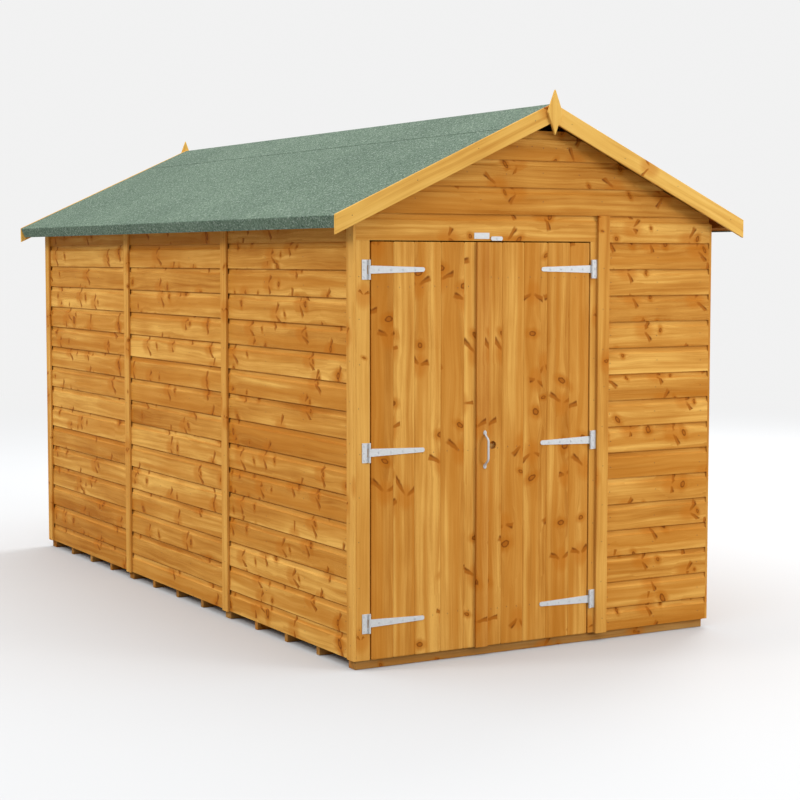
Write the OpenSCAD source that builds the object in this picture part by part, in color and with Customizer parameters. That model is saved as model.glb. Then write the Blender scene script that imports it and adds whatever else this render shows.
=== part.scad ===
// Apex garden shed in timber, with double doors and a felt roof.
// X runs along the front, Y from front to back, Z up. Origin: middle of the footprint, on the ground.

/* [Walls] */
// Width of the shed over its cladding
body_w = 1750; // [1500:10:2400]
// Length of one side panel
panel_l = 1180; // [900:10:1500]
// Width of the front panel that holds the doors
wide_panel_w = 1178; // [1100:2:1300]
// Visible height of one cladding board
board_cover = 111; // [90:1:125]
// Visible height of the lowest cladding board
bottom_board_h = 97; // [60:1:120]
// Thickness of the cladding boards
board_t = 12; // [8:1:20]
// Depth of the wall frames behind the cladding
frame_t = 28; // [20:1:50]
// Width of a stud or rail in the wall frames
stud_w = 38; // [28:1:60]
// Gap left between two panels that stand side by side
panel_gap = 2; // [1:0.5:4]

/* [Floor] */
// Height of the floor joists
joist_h = 38; // [28:1:75]
// Thickness of one floor joist
joist_w = 28; // [20:1:45]
// Thickness of the floor boards
floor_t = 12; // [10:1:22]
// How far the joist ends stand in from the side cladding
joist_side_inset = 5; // [2:1:30]
// How far the floor stands in from the front and back cladding
floor_end_inset = 18; // [17:1:30]

/* [Trims] */
// Width of the trims over the corners and joints
trim_w = 58; // [40:1:80]
// Thickness of the trims
trim_t = 12; // [8:1:20]
// How far the joint trims hang below the cladding
trim_drop = 4; // [0:1:10]

/* [Doors] */
// Width of each door post
post_w = 62; // [50:1:80]
// Height of the board above the doors
head_board_h = 107; // [90:1:140]
// Gap between a door and its post
door_gap = 6; // [5:0.5:10]
// Gap between the two doors
meeting_gap = 5.5; // [5:0.5:8]
// Gap between the doors and the board above them
top_gap = 5; // [4:0.5:8]
// Width of the left door
left_leaf_w = 503; // [450:1:530]
// Height of a door ledge
ledge_h = 90; // [60:1:120]
// Thickness of a door ledge
ledge_t = 22; // [15:1:30]
// How far a ledge stops short of the door's edges
ledge_inset = 32; // [25:1:60]
// Height of the lowest ledge and hinge above the ground
low_hinge_z = 185; // [150:1:300]
// Distance of the highest ledge and hinge from the top of the doors
top_hinge_drop = 109; // [60:1:250]
// How far the middle ledge and hinge sit below half way between the others
mid_hinge_drop = 20; // [0:1:60]
// Width of the cover strip down the meeting edge
strip_w = 56; // [40:1:70]
// Thickness of the cover strip
strip_t = 12; // [10:1:20]
// How far the cover strip laps over the left door
strip_lap = 21; // [15:1:25]
// Air gap between the cover strip and the left door
strip_air = 1; // [0.5:0.5:3]
// Radius of the drilled hole in the right door
peep_r = 16.5; // [10:0.5:25]
// Distance of that hole from the edge of the cover strip
peep_off = 28; // [25:1:60]
// Height of that hole above the ground
peep_z = 864; // [750:1:950]

/* [Hinges] */
// Distance of the hinge pins from the doorway's edge, over the posts
pin_in = 5; // [0:1:8]
// Radius of the hinge pin
pin_r = 2.5; // [2:0.1:4]
// Radial clearance of the strap's knuckle on the pin
pin_clear = 0.08; // [0.05:0.01:0.1]
// Outer radius of the hinge knuckles
knuckle_r = 5; // [4.5:0.1:8]
// Thickness of the hinge plates and straps
hinge_t = 2.5; // [2:0.1:4]
// Height of a hinge plate
plate_h = 78; // [60:1:100]
// Width of a hinge plate from the pin
plate_w = 31; // [25:1:45]
// Gap between a right-hand hinge plate and the trim beside it
plate_gap = 0.5; // [0.5:0.5:5]
// Length of a strap from the pin to its tip
strap_l = 253; // [180:1:300]
// Width of a strap at the pin
strap_root_h = 32; // [24:1:40]
// Width of a strap at its rounded tip
strap_tip_h = 18; // [12:1:24]

/* [Door furniture] */
// Distance between the feet of the pull handle
handle_span = 123; // [90:1:160]
// Height of the middle of the pull handle
handle_z = 849; // [750:1:950]
// How far the grip stands off the cover strip
handle_reach = 32; // [25:1:45]
// Radius of the grip
grip_r = 4.5; // [3.5:0.5:8]
// Length of the turn button
button_l = 57; // [45:1:70]
// Width of the turn button
button_w = 17; // [12:1:22]
// Thickness of the turn button
button_t = 4; // [3:0.5:6]
// Air gap behind the turn button
button_air = 1; // [0.5:0.5:3]
// Height of the turn button's screw above the door
button_rise = 15; // [14:0.5:18]
// Distance of the turn button from the left cladding
button_x = 647; // [645:1:700]
// Radius of the turn button's shank
shank_r = 2.5; // [2:0.1:4]
// Depth of the turn button's shank in the board behind it
shank_depth = 9; // [5:0.5:11]
// Width of the blank name plate
name_plate_w = 72; // [50:1:100]
// Height of the blank name plate
name_plate_h = 25; // [15:1:40]
// Thickness of the blank name plate
name_plate_t = 1.5; // [1:0.5:4]
// Height of the name plate above the doorway
name_plate_rise = 8; // [5:1:60]
// Distance of the name plate's middle from the left cladding
name_plate_x = 577; // [540:1:580]

/* [Roof] */
// Slope of the roof
roof_pitch = 24.7; // [18:0.1:30]
// How far the roof boards reach past the side cladding
eaves_overhang = 128; // [60:1:200]
// How far the roof boards reach past the front and back cladding
verge_overhang = 61; // [40:1:100]
// Height of the purlins' underside above the wall frames
roof_seat = 13; // [5:1:30]
// Thickness of the roof boards
roof_board_t = 11; // [9:1:20]
// Thickness of the roof felt
felt_t = 2.5; // [2:0.1:4]
// Height of the felt band that is turned down at the eaves
felt_turn = 53; // [30:1:60]
// Width of the ridge felt on each slope
cap_w = 265; // [150:5:400]
// Depth of the purlins under the roof boards
purlin_d = 34; // [28:1:50]
// Thickness of the purlins
purlin_w = 28; // [20:1:45]
// Distance of the highest purlin from the ridge
ridge_purlin = 45; // [30:1:120]
// Depth of the rafters under the purlins
rafter_d = 58; // [45:1:80]
// Width of the bargeboards
barge_w = 70; // [50:1:100]
// Thickness of the bargeboards
barge_t = 12; // [9:1:20]
// How far a bargeboard stands above the felt
barge_lip = 2; // [0:0.5:6]
// Width of the flat top of the gable cladding
gable_flat_w = 230; // [150:5:300]
// Height of a finial
finial_h = 185; // [120:1:240]
// Width of a finial
finial_w = 72; // [50:1:100]
// Height of a finial's tip above the ridge
finial_rise = 56; // [30:1:80]

/* [Hidden] */
side_panels = 3;
wall_rows = 15;
joist_bays = 12;
wall_t = board_t + frame_t;
body_l = side_panels * panel_l + 2 * wall_t;
left_x = -body_w / 2;
front_y = -body_l / 2;
wall_bottom = joist_h;
wall_top = wall_bottom + bottom_board_h + wall_rows * board_cover;
floor_top = joist_h + floor_t;
narrow_panel_w = body_w - wide_panel_w;

// doorway and doors
doorway_w = wide_panel_w - 2 * post_w;
doorway_x = left_x + post_w;
doorway_top = wall_top - head_board_h;
door_bottom = wall_bottom;
door_top = doorway_top - top_gap;
door_h = door_top - door_bottom;
right_leaf_w = doorway_w - 2 * door_gap - meeting_gap - left_leaf_w;
left_door_x = doorway_x + door_gap;
right_door_x = left_door_x + left_leaf_w + meeting_gap;
strip_x = left_door_x + left_leaf_w - strip_lap;
pin_out = knuckle_r + 1;
left_pin_x = doorway_x - pin_in;
right_pin_x = doorway_x + doorway_w + pin_in;
top_hinge_z = door_top - top_hinge_drop;
hinge_z = [low_hinge_z, (low_hinge_z + top_hinge_z) / 2 - mid_hinge_drop, top_hinge_z];
knuckle_h = strap_root_h;
right_plate_w = min(plate_w, left_x + wide_panel_w - trim_w / 2 - plate_gap - right_pin_x);
handle_x = strip_x + strip_w - 18;

// roof: drops are measured straight down, slants along the slope
pitch_cos = cos(roof_pitch);
pitch_tan = tan(roof_pitch);
seat_half = body_w / 2 - wall_t;
purlin_top_drop = (felt_t + roof_board_t) / pitch_cos;
purlin_drop = purlin_top_drop + purlin_d / pitch_cos;
ridge_z = wall_top + roof_seat + seat_half * pitch_tan + purlin_drop;
roof_half_w = body_w / 2 + eaves_overhang;
slope_l = roof_half_w / pitch_cos;
roof_l = body_l + 2 * verge_overhang;
barge_y = roof_l / 2 + barge_t;
gable_top = ridge_z - purlin_drop - gable_flat_w / 2 * pitch_tan;

wood = "#d19a4c";
light_wood = "#dcaa60";
dark_wood = "#b27a35";
felt_green = "#87a08c";
zinc = "#d8dadb";

// a box from its low corner and its size
module block(corner, size) translate(corner) cube(size);

// turns what is drawn for the front round to the back
module at_back() mirror([0, 1, 0]) children();
module on_right() mirror([1, 0, 0]) children();

// a bar along Y, with a given outline drawn in X and Z
module along_y(length) rotate([90, 0, 0]) translate([0, 0, -length / 2])
    linear_extrude(height = length) children();

// ---- floor ----

// every fourth joist is doubled, where two floor sections meet or end
module floor_joists() color(dark_wood) {
    first_y = front_y + floor_end_inset + joist_w;
    for (i = [0:joist_bays]) {
        w = i % 4 == 0 ? 2 * joist_w : joist_w;
        block([left_x + joist_side_inset, first_y - 2 * first_y * i / joist_bays - w / 2, 0],
              [body_w - 2 * joist_side_inset, w, joist_h]);
    }
}

module floor_boards() color(wood)
    block([left_x + board_t, front_y + floor_end_inset, joist_h],
          [body_w - 2 * board_t, body_l - 2 * floor_end_inset, floor_t]);

// ---- side walls ----

// cladding of one left-hand panel, between the two end walls
module left_panel(i) color(wood)
    block([left_x, front_y + wall_t + i * panel_l + panel_gap / 2, wall_bottom],
          [board_t, panel_l - panel_gap, wall_top - wall_bottom]);
module left_front_panel() left_panel(0);
module left_middle_panel() left_panel(1);
module left_back_panel() left_panel(2);
module right_front_panel() on_right() left_panel(0);
module right_middle_panel() on_right() left_panel(1);
module right_back_panel() on_right() left_panel(2);

// a ladder of studs between two rails, flat in X and Z, from the origin
module stud_ladder(w, h, studs) {
    block([0, 0, 0], [w, frame_t, stud_w]);
    block([0, 0, h - stud_w], [w, frame_t, stud_w]);
    for (i = [0:studs - 1])
        block([i * (w - stud_w) / (studs - 1), 0, 0], [stud_w, frame_t, h]);
}

// one ladder for each side panel, standing on the floor
module side_wall_frames() color(light_wood) for (side = [0, 1]) mirror([side, 0, 0])
    for (i = [0:side_panels - 1])
        translate([left_x + wall_t, front_y + wall_t + i * panel_l + panel_gap / 2, floor_top])
            rotate([0, 0, 90]) stud_ladder(panel_l - panel_gap, wall_top - floor_top, 4);

// ---- end walls ----

// cladding of an end wall between two distances from the left-hand corner
module end_panel(x0, x1)
    color(wood) block([left_x + x0, front_y, wall_bottom], [x1 - x0, board_t, wall_top - wall_bottom]);

module back_wide_panel() at_back() end_panel(0, wide_panel_w - panel_gap / 2);
module back_narrow_panel() at_back() end_panel(wide_panel_w + panel_gap / 2, body_w);
module front_side_panel() end_panel(wide_panel_w + panel_gap / 2, body_w);

// outline of a gable in X and Z, from the wall top up to under the purlins
module gable_outline() {
    half_base = seat_half + roof_seat / pitch_tan;
    polygon([[-half_base, wall_top], [half_base, wall_top],
             [gable_flat_w / 2, gable_top], [-gable_flat_w / 2, gable_top]]);
}

module gable_cladding() color(wood)
    translate([0, front_y + board_t / 2, 0]) along_y(board_t) gable_outline();
module front_gable() gable_cladding();
module back_gable() at_back() gable_cladding();

// frame of a gable: a sill rail, sloping rails and three posts, just clear of the frame below
module gable_frame() translate([0, front_y + board_t + frame_t / 2, 0]) along_y(frame_t)
    intersection() {
        gable_outline();
        translate([-body_w, wall_top + panel_gap]) square([2 * body_w, gable_top - wall_top]);
        union() {
            difference() {
                gable_outline();
                translate([0, -stud_w / pitch_cos]) gable_outline();
            }
            translate([-body_w / 2, wall_top]) square([body_w, stud_w]);
            for (x = [-1:1]) translate([x * body_w / 5 - stud_w / 2, wall_top])
                square([stud_w, gable_top - wall_top]);
        }
    }

// the ladder behind the narrow front panel, a rail over the doors and the gable's frame
module front_wall_frame() color(light_wood) {
    narrow_x = left_x + wide_panel_w + panel_gap / 2;
    translate([narrow_x, front_y + board_t, floor_top])
        stud_ladder(narrow_panel_w - panel_gap / 2, wall_top - floor_top, 3);
    block([left_x, front_y + board_t, doorway_top + panel_gap],
          [wide_panel_w - panel_gap, frame_t, wall_top - doorway_top - panel_gap]);
    gable_frame();
}

module back_wall_frame() color(light_wood) at_back() {
    translate([left_x, front_y + board_t, floor_top])
        stud_ladder(wide_panel_w - panel_gap / 2, wall_top - floor_top, 4);
    translate([left_x + wide_panel_w + panel_gap / 2, front_y + board_t, floor_top])
        stud_ladder(narrow_panel_w - panel_gap / 2, wall_top - floor_top, 3);
    gable_frame();
}

// ---- door surround ----

module door_post(x) color(light_wood) {
    block([x, front_y, wall_bottom], [post_w, board_t, doorway_top - wall_bottom]);
    block([x, front_y, floor_top], [post_w, wall_t, doorway_top - floor_top]);
}
module left_door_post() door_post(left_x);
module right_door_post() door_post(doorway_x + doorway_w);

// the board over the doors, drilled for the turn button's shank
module door_head_board() color(wood) difference() {
    block([left_x, front_y, doorway_top],
          [wide_panel_w - panel_gap / 2, board_t, wall_top - doorway_top]);
    at_button() cylinder(r = shank_r + pin_clear, h = 2 * shank_depth, center = true, $fn = 32);
}

// ---- trims ----

module side_trim(y, drop) block([left_x - trim_t, y, wall_bottom - drop],
                                [trim_t, trim_w, wall_top - wall_bottom + drop - trim_w / 2]);

module side_trims() color(light_wood) for (side = [0, 1]) mirror([side, 0, 0]) {
    side_trim(front_y, 0);
    side_trim(-front_y - trim_w, 0);
    for (i = [1:side_panels - 1]) side_trim(front_y + wall_t + i * panel_l - trim_w / 2, trim_drop);
}

module divider_trims() color(light_wood) for (end = [0, 1]) mirror([0, end, 0])
    block([left_x + wide_panel_w - trim_w / 2, front_y - trim_t, wall_bottom - trim_drop],
          [trim_w, trim_t, wall_top - wall_bottom + trim_drop]);

// ---- roof ----

// the left slope laid flat: X runs down from the ridge, Z up out of the roof
module on_left_slope() translate([0, 0, ridge_z]) rotate([0, -roof_pitch, 0]) mirror([1, 0, 0])
    children();

// a sheet on the left slope, cut plumb at the ridge; low and high are depths under the felt
module slope_sheet(low, high, from, to, length) intersection() {
    on_left_slope() block([from - (from == 0 ? low : 0), -length / 2, -low],
                          [to - from + (from == 0 ? low : 0), length, low - high]);
    block([-roof_half_w * 2, -length / 2 - 1, 0], [roof_half_w * 2, length + 2, ridge_z * 2]);
}

module left_roof_boards() color(dark_wood)
    slope_sheet(felt_t + roof_board_t, felt_t, 0, slope_l, roof_l);
module right_roof_boards() on_right() left_roof_boards();

// ridge, two middle, wall and eaves purlins as distances down the slope
wall_purlin = seat_half / pitch_cos;
purlin_at = [ridge_purlin, ridge_purlin + (wall_purlin - ridge_purlin) / 3,
             ridge_purlin + (wall_purlin - ridge_purlin) * 2 / 3, wall_purlin, slope_l - purlin_w];

module roof_purlins() color(light_wood) for (side = [0, 1]) mirror([side, 0, 0])
    for (s = purlin_at)
        slope_sheet(felt_t + roof_board_t + purlin_d, felt_t + roof_board_t, s, s + purlin_w, roof_l);

// a rafter pair over each joint of the side panels, ending against the wall frames
module roof_rafters() color(light_wood) for (side = [0, 1]) mirror([side, 0, 0])
    for (i = [1:side_panels - 1])
        translate([0, front_y + wall_t + i * panel_l, 0]) along_y(purlin_w)
            polygon([[-panel_gap, ridge_z - purlin_drop - panel_gap * pitch_tan],
                     [-seat_half, wall_top + roof_seat],
                     [-seat_half, wall_top + roof_seat - rafter_d / pitch_cos],
                     [-panel_gap, ridge_z - purlin_drop - panel_gap * pitch_tan - rafter_d / pitch_cos]]);

// felt on one slope, turned down over the eaves
module left_roof_felt() color(felt_green) {
    slope_sheet(felt_t, 0, cap_w, slope_l + felt_t, roof_l);
    slope_sheet(felt_turn, 0, slope_l, slope_l + felt_t, roof_l);
}
module right_roof_felt() on_right() left_roof_felt();

// the strip of felt folded over the ridge
module ridge_felt() color(felt_green) for (side = [0, 1]) mirror([side, 0, 0])
    slope_sheet(felt_t, 0, 0, cap_w, roof_l);

// ---- gable ends ----

module bargeboard() color(light_wood) {
    top = ridge_z + barge_lip / pitch_cos;
    drop = roof_half_w * pitch_tan;
    depth = barge_w / pitch_cos;
    translate([0, -barge_y + barge_t / 2, 0]) along_y(barge_t)
        polygon([[0, top], [0, top - depth],
                 [-roof_half_w, top - depth - drop], [-roof_half_w, top - drop]]);
}
module front_left_bargeboard() bargeboard();
module front_right_bargeboard() on_right() bargeboard();
module back_left_bargeboard() at_back() bargeboard();
module back_right_bargeboard() on_right() at_back() bargeboard();

module finial() color(light_wood) {
    middle = ridge_z + finial_rise - finial_h / 2;
    translate([0, -barge_y - barge_t / 2, 0]) along_y(barge_t)
        polygon([[0, middle + finial_h / 2], [-finial_w / 2, middle],
                 [0, middle - finial_h / 2], [finial_w / 2, middle]]);
}
module front_finial() finial();
module back_finial() at_back() finial();

// ---- doors ----

module left_door_boards() color(wood)
    block([left_door_x, front_y, door_bottom], [left_leaf_w, board_t, door_h]);

module right_door_boards() color(wood) difference() {
    block([right_door_x, front_y, door_bottom], [right_leaf_w, board_t, door_h]);
    translate([strip_x + strip_w + peep_off, front_y - 1, peep_z])
        rotate([-90, 0, 0]) cylinder(r = peep_r, h = board_t + 2, $fn = 48);
}

module door_ledges(x, w) color(light_wood) for (z = hinge_z)
    block([x + ledge_inset, front_y + board_t, z - ledge_h / 2], [w - 2 * ledge_inset, ledge_t, ledge_h]);
module left_door_ledges() door_ledges(left_door_x, left_leaf_w);
module right_door_ledges() door_ledges(right_door_x, right_leaf_w);

// the strip is planed back where it laps over the left door
module door_cover_strip() color(light_wood) difference() {
    block([strip_x, front_y - strip_t, door_bottom], [strip_w, strip_t, door_h]);
    block([strip_x - 1, front_y - strip_air, door_bottom - 1],
          [right_door_x - strip_x + 1, strip_air + 1, door_h + 2]);
}

// ---- hinges, drawn for a pin on the Z axis with the door towards +X ----

module knuckle(z0, z1) translate([0, 0, z0]) cylinder(r = knuckle_r, h = z1 - z0, $fn = 32);

// plate on the post, its two knuckles and the pin
module hinge_plate(w) {
    difference() {
        union() {
            block([-w, pin_out - hinge_t, -plate_h / 2], [w, hinge_t, plate_h]);
            knuckle(knuckle_h / 2 + 1, plate_h / 2);
            knuckle(-plate_h / 2, -knuckle_h / 2 - 1);
        }
        block([-knuckle_r - 2, -knuckle_r - 1, -knuckle_h / 2 - 1],
              [2 * knuckle_r + 4, 2 * knuckle_r + 3, knuckle_h + 2]);
    }
    translate([0, 0, -plate_h / 2]) cylinder(r = pin_r, h = plate_h, $fn = 32);
}

// tapered strap on the door and the knuckle that turns on the pin
module hinge_strap() difference() {
    union() {
        translate([0, pin_out, 0]) rotate([90, 0, 0]) linear_extrude(height = hinge_t) {
            polygon([[0, -strap_root_h / 2], [strap_l - strap_tip_h / 2, -strap_tip_h / 2],
                     [strap_l - strap_tip_h / 2, strap_tip_h / 2], [0, strap_root_h / 2]]);
            translate([strap_l - strap_tip_h / 2, 0]) circle(d = strap_tip_h, $fn = 32);
        }
        knuckle(-knuckle_h / 2, knuckle_h / 2);
    }
    translate([0, 0, -knuckle_h]) cylinder(r = pin_r + pin_clear, h = 2 * knuckle_h, $fn = 32);
}

module at_left_pins() for (z = hinge_z) translate([left_pin_x, front_y - pin_out, z]) children();
module at_right_pins() for (z = hinge_z)
    translate([right_pin_x, front_y - pin_out, z]) mirror([1, 0, 0]) children();

module hinge_plates() color(zinc) {
    at_left_pins() hinge_plate(plate_w);
    at_right_pins() hinge_plate(right_plate_w);
}
module left_hinge_straps() color(zinc) at_left_pins() hinge_strap();
module right_hinge_straps() color(zinc) at_right_pins() hinge_strap();

// ---- small furniture ----

// a round bar bent forward at both ends, on two oval feet
module door_handle() color(zinc) translate([handle_x, front_y - strip_t, handle_z]) {
    translate([0, -handle_reach + grip_r, -handle_span / 2])
        cylinder(r = grip_r, h = handle_span, $fn = 32);
    for (end = [-1, 1]) translate([0, 0, end * handle_span / 2]) {
        rotate([90, 0, 0]) cylinder(r = grip_r, h = handle_reach - grip_r, $fn = 32);
        translate([0, -handle_reach + grip_r, 0]) sphere(r = grip_r, $fn = 32);
        rotate([90, 0, 0]) linear_extrude(height = 3) for (z = [-5, 5])
            translate([0, z + end * 4]) circle(r = 8, $fn = 32);
        block([-8, -3, -5 + end * 4], [16, 3, 10]);
    }
}

// on the front face at the turn button, with Z pointing out of the wall
module at_button() translate([left_x + button_x, front_y, door_top + button_rise])
    rotate([90, 0, 0]) children();

// lies level at rest, clear of the doors, and turns upright to hold the right one
module turn_button() color(zinc) at_button() {
    translate([0, 0, button_air]) linear_extrude(height = button_t) {
        square([button_l - button_w, button_w], center = true);
        for (end = [-1, 1]) translate([end * (button_l - button_w) / 2, 0])
            circle(d = button_w, $fn = 32);
    }
    translate([0, 0, -shank_depth + 1])
        cylinder(r = shank_r, h = shank_depth + button_air, $fn = 32);
}

module name_plate() color(zinc)
    block([left_x + name_plate_x - name_plate_w / 2, front_y - name_plate_t,
           doorway_top + name_plate_rise],
          [name_plate_w, name_plate_t, name_plate_h]);

floor_joists();
floor_boards();
left_front_panel();
left_middle_panel();
left_back_panel();
right_front_panel();
right_middle_panel();
right_back_panel();
side_wall_frames();
back_wide_panel();
back_narrow_panel();
back_gable();
back_wall_frame();
front_side_panel();
door_head_board();
left_door_post();
right_door_post();
front_gable();
front_wall_frame();
side_trims();
divider_trims();
left_roof_boards();
right_roof_boards();
roof_purlins();
roof_rafters();
left_roof_felt();
right_roof_felt();
ridge_felt();
front_left_bargeboard();
front_right_bargeboard();
back_left_bargeboard();
back_right_bargeboard();
front_finial();
back_finial();
left_door_boards();
left_door_ledges();
left_hinge_straps();
right_door_boards();
right_door_ledges();
right_hinge_straps();
door_cover_strip();
door_handle();
hinge_plates();
turn_button();
name_plate();
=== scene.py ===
import math
import random

import bpy
import numpy as np
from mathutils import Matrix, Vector


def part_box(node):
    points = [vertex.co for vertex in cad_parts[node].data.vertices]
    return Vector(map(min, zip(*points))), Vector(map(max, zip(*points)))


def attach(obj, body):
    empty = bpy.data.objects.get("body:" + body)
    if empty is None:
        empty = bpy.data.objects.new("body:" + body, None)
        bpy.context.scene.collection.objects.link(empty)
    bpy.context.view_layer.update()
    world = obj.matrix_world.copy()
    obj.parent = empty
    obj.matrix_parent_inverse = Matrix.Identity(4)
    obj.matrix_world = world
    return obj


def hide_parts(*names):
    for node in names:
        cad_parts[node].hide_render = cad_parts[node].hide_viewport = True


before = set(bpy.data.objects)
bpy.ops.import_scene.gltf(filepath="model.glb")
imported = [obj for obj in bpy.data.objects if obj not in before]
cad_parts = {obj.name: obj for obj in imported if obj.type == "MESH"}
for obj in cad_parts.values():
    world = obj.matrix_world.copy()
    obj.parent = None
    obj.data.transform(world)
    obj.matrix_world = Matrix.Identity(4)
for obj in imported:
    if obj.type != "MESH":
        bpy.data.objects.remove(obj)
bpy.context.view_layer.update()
chance = random.Random(12)
print("shed frame loaded:", len(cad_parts), "nodes")


# selecting and placing

def dropSelection():
    if bpy.context.mode != "OBJECT":
        bpy.ops.object.mode_set(mode="OBJECT")
    bpy.ops.object.select_all(action="DESELECT")


def pick(piece):
    dropSelection()
    piece.select_set(True)
    bpy.context.view_layer.objects.active = piece
    return piece


def freeze(piece):  # place, turn and size go into the mesh
    pick(piece)
    bpy.ops.object.transform_apply(location=True, rotation=True, scale=True)
    return piece


def applyNew(piece, kind, **settings):  # one modifier, added and applied
    pick(piece)
    bpy.ops.object.modifier_add(type=kind)
    modifier = piece.modifiers[-1]
    for key, value in settings.items():
        setattr(modifier, key, value)
    bpy.ops.object.modifier_apply(modifier=modifier.name)
    return piece


def shadeSharp(piece):  # smooth, but for edges that turn by more than the angle
    pick(piece)
    bpy.ops.object.shade_smooth_by_angle(angle=math.radians(35))
    return piece


def easeEdges(piece, width, segments=2):
    applyNew(piece, "BEVEL", width=width, segments=segments, limit_method="ANGLE",
             angle_limit=math.radians(40))
    return shadeSharp(piece)


def twinOf(piece, name):  # a copy with its own mesh
    twin = piece.copy()
    twin.data = piece.data.copy()
    twin.name = name
    bpy.context.collection.objects.link(twin)
    return twin


def joinAll(name, parts):
    dropSelection()
    for part in parts:
        part.select_set(True)
    bpy.context.view_layer.objects.active = parts[0]
    if len(parts) > 1:
        bpy.ops.object.join()
    made = bpy.context.view_layer.objects.active
    made.name = name
    return freeze(made)


def sawOff(piece, point, normal):  # cuts off what lies beyond the plane and closes the end
    pick(piece)
    bpy.ops.object.mode_set(mode="EDIT")
    bpy.ops.mesh.select_all(action="SELECT")
    bpy.ops.mesh.bisect(plane_co=point, plane_no=normal, use_fill=True, clear_outer=True)
    bpy.ops.object.mode_set(mode="OBJECT")
    return shadeSharp(piece)


def barBetween(low, high):
    dropSelection()
    size = [b - a for a, b in zip(low, high)]
    middle = [(a + b) / 2 for a, b in zip(low, high)]
    bpy.ops.mesh.primitive_cube_add(size=1, location=middle, scale=size)
    return freeze(bpy.context.object)


def outlineBar(outline, length):  # an outline in Y and Z, drawn point by point and pulled out along X
    dropSelection()
    bpy.ops.mesh.primitive_plane_add(size=0.01, location=(0, 0, 0))
    made = bpy.context.object
    bpy.ops.object.mode_set(mode="EDIT")
    bpy.ops.mesh.merge(type="CENTER")
    bpy.ops.transform.translate(value=(-length / 2, outline[0][0], outline[0][1]))
    for before, after in zip(outline, outline[1:]):
        step = (0, after[0] - before[0], after[1] - before[1])
        bpy.ops.mesh.extrude_vertices_move(TRANSFORM_OT_translate={"value": step})
    bpy.ops.mesh.select_all(action="SELECT")
    bpy.ops.mesh.edge_face_add()
    bpy.ops.mesh.extrude_region_move(TRANSFORM_OT_translate={"value": (length, 0, 0)})
    bpy.ops.mesh.select_all(action="SELECT")
    bpy.ops.mesh.normals_make_consistent(inside=False)
    bpy.ops.object.mode_set(mode="OBJECT")
    return made


def workedCopy(node, name, ease):  # a copy of a CAD node, merged and with eased edges
    made = bpy.data.objects.new(name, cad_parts[node].data.copy())
    made.data.materials.clear()
    bpy.context.collection.objects.link(made)
    pick(made)
    bpy.ops.object.mode_set(mode="EDIT")
    bpy.ops.mesh.select_all(action="SELECT")
    bpy.ops.mesh.remove_doubles(threshold=0.00001)
    bpy.ops.mesh.dissolve_limited(angle_limit=math.radians(1))
    bpy.ops.object.mode_set(mode="OBJECT")
    easeEdges(made, ease)
    return applyNew(made, "WEIGHTED_NORMAL", keep_sharp=True)  # keeps the flat faces flat


def islandsOf(mesh):  # a number for each vertex, the same for all that are joined up
    ends = np.empty(len(mesh.edges) * 2, dtype=np.int64)
    mesh.edges.foreach_get("vertices", ends)
    a, b = ends[0::2], ends[1::2]
    label = np.arange(len(mesh.vertices))
    while True:
        lower = np.minimum(label[a], label[b])
        new = label.copy()
        np.minimum.at(new, a, lower)
        np.minimum.at(new, b, lower)
        new = new[new]
        if (new == label).all():
            return label
        label = new


def markGrain(piece):
    # each board gets its own coordinates: along the grain, across it, and a number of its own
    mesh = piece.data
    points = np.empty(len(mesh.vertices) * 3)
    mesh.vertices.foreach_get("co", points)
    points = points.reshape(-1, 3)
    grain = np.zeros_like(points)
    label = islandsOf(mesh)
    for island in np.unique(label):
        chosen = label == island
        local = points[chosen] - points[chosen].mean(axis=0)
        turned = local @ np.linalg.eigh(local.T @ local)[1]
        order = np.argsort(-np.ptp(turned, axis=0))
        grain[chosen, 0] = turned[:, order[0]]
        grain[chosen, 1] = turned[:, order[1]] + turned[:, order[2]]
        grain[chosen, 2] = chance.random()
    layer = mesh.attributes.new("grain", "FLOAT_VECTOR", "POINT")
    layer.data.foreach_set("vector", grain.ravel())


# materials: shader maths written as sums

class Wire:  # one socket
    def __init__(self, paint, socket):
        self.paint = paint
        self.socket = socket

    def maths(self, operation, first, second=0.0):
        return self.paint.node("Math", {"operation": operation}, {0: first, 1: second})

    def __add__(self, other):
        return self.maths("ADD", self, other)

    def __radd__(self, other):
        return self.maths("ADD", other, self)

    def __sub__(self, other):
        return self.maths("SUBTRACT", self, other)

    def __rsub__(self, other):
        return self.maths("SUBTRACT", other, self)

    def __mul__(self, other):
        return self.maths("MULTIPLY", self, other)

    def __rmul__(self, other):
        return self.maths("MULTIPLY", other, self)

    def __truediv__(self, other):
        return self.maths("DIVIDE", self, other)

    def __rtruediv__(self, other):
        return self.maths("DIVIDE", other, self)

    def __pow__(self, other):
        return self.maths("POWER", self, other)

    def __gt__(self, other):
        return self.maths("GREATER_THAN", self, other)

    def also(self, name):  # another output of the same node
        return Wire(self.paint, self.socket.node.outputs[name])

    def absolute(self):
        return self.maths("ABSOLUTE", self)

    def fade(self, low, high):  # 0 at low, 1 at high
        return self.paint.node("MapRange", {"interpolation_type": "SMOOTHSTEP"},
                               {"Value": self, "From Min": low, "From Max": high})


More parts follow.
